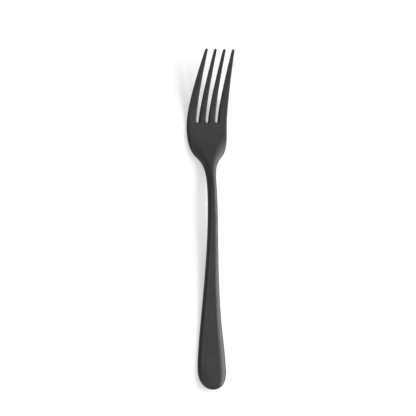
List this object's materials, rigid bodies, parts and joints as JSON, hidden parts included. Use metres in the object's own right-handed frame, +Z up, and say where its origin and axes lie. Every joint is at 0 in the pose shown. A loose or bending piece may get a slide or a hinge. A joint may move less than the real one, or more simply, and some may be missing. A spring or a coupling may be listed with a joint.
{
  "type": "dinner fork",
  "caption": "Matte black one-piece dinner fork with a spoon-ended flat handle, narrow arched neck and slender upswept tines, for spearing and lifting food.",
  "frame": {"origin": "on the table under the middle of the fork's outline, as it lies tines up", "axes": "+Y from the handle's butt to the tine tips, +Z up from the table, +X across to the right when the tines point away"},
  "size_m": [0.0286, 0.2042, 0.0177],
  "materials": {
    "stainless_steel": "satin",
    "matte_black_coat": "matte"
  },
  "bodies": {
    "root": {"steel_blank": "stainless_steel", "black_coating": "matte_black_coat"}
  },
  "joints": []
}
